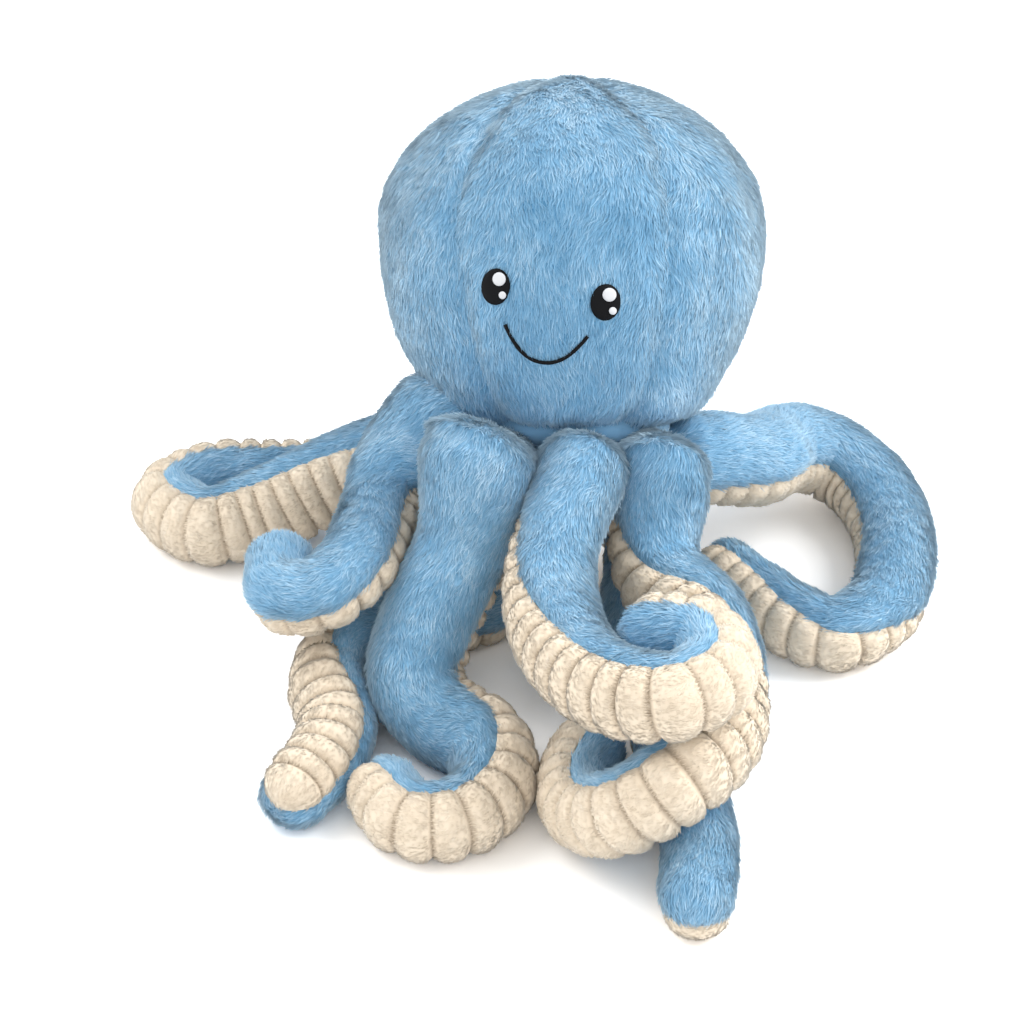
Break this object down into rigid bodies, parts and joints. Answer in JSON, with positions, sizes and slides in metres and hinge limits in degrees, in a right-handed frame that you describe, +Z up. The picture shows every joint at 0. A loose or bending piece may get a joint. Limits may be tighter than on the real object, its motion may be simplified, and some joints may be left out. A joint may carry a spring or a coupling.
{
  "type": "plush octopus",
  "caption": "Stuffed toy octopus, sitting: a round seamed head that leans back, with an embroidered face, over curled arms that have ribbed undersides.",
  "frame": {"origin": "on the surface that the toy sits on, below the middle of its bounding box", "axes": "+Z up; the face looks towards -Y; +X is to the right of someone who looks at the face"},
  "size_m": [0.5198, 0.5146, 0.3289],
  "materials": {
    "plush_blue": "short streaky pile",
    "ribbed_cream": "short pile in wide ribs",
    "stuffing_white": "loose fibre",
    "thread_black": "satin stitch",
    "thread_white": "satin stitch"
  },
  "bodies": {
    "root": {"head_front_panel": "plush_blue", "head_right_panel": "plush_blue", "head_back_right_panel": "plush_blue", "head_back_left_panel": "plush_blue", "head_left_panel": "plush_blue", "head_filling": "stuffing_white", "base_panel": "plush_blue", "left_eye_patch": "thread_black", "left_eye_highlight": "thread_white", "left_eye_small_highlight": "thread_white", "right_eye_patch": "thread_black", "right_eye_highlight": "thread_white", "right_eye_small_highlight": "thread_white", "mouth_stitching": "thread_black"},
    "arm_1": {"arm_1_top": "plush_blue", "arm_1_underside": "ribbed_cream", "arm_1_filling": "stuffing_white"},
    "arm_2": {"arm_2_top": "plush_blue", "arm_2_underside": "ribbed_cream", "arm_2_filling": "stuffing_white"},
    "arm_3": {"arm_3_top": "plush_blue", "arm_3_underside": "ribbed_cream", "arm_3_filling": "stuffing_white"},
    "arm_4": {"arm_4_top": "plush_blue", "arm_4_underside": "ribbed_cream", "arm_4_filling": "stuffing_white"},
    "arm_5": {"arm_5_top": "plush_blue", "arm_5_underside": "ribbed_cream", "arm_5_filling": "stuffing_white"},
    "arm_6": {"arm_6_top": "plush_blue", "arm_6_underside": "ribbed_cream", "arm_6_filling": "stuffing_white"},
    "arm_7": {"arm_7_top": "plush_blue", "arm_7_underside": "ribbed_cream", "arm_7_filling": "stuffing_white"},
    "arm_8": {"arm_8_top": "plush_blue", "arm_8_underside": "ribbed_cream", "arm_8_filling": "stuffing_white"}
  },
  "joints": [
    {"name": "arm_1_turn", "type": "hinge", "parent": "root", "child": "arm_1", "pos_m": [0.02876, 0.01373, 0.13301], "axis": [-0.9171, 0.2392, 0.319], "range_deg": [0, 30]},
    {"name": "arm_2_turn", "type": "hinge", "parent": "root", "child": "arm_2", "pos_m": [0.074, 0.03412, 0.12124], "axis": [-0.1202, 0.8513, 0.5108], "range_deg": [0, 10]},
    {"name": "arm_3_turn", "type": "hinge", "parent": "root", "child": "arm_3", "pos_m": [0.08934, 0.07624, 0.09692], "axis": [-0.1491, -0.497, -0.8548], "range_deg": [0, 25]},
    {"name": "arm_4_turn", "type": "hinge", "parent": "root", "child": "arm_4", "pos_m": [0.06579, 0.11542, 0.0743], "axis": [-0.1202, 0.8513, 0.5108], "range_deg": [0, 5]},
    {"name": "arm_5_turn", "type": "hinge", "parent": "root", "child": "arm_5", "pos_m": [0.01715, 0.1287, 0.06663], "axis": [0.4115, 0.8933, 0.1807], "range_deg": [0, 3]},
    {"name": "arm_6_turn", "type": "hinge", "parent": "root", "child": "arm_6", "pos_m": [-0.02809, 0.10831, 0.07841], "axis": [0, 0, 1], "range_deg": [0, 15]},
    {"name": "arm_7_turn", "type": "hinge", "parent": "root", "child": "arm_7", "pos_m": [-0.04343, 0.06619, 0.10273], "axis": [0.1498, 0, -0.9887], "range_deg": [0, 20]},
    {"name": "arm_8_turn", "type": "hinge", "parent": "root", "child": "arm_8", "pos_m": [-0.01988, 0.02701, 0.12534], "axis": [-0.862, 0.4611, 0.2105], "range_deg": [0, 25]}
  ]
}
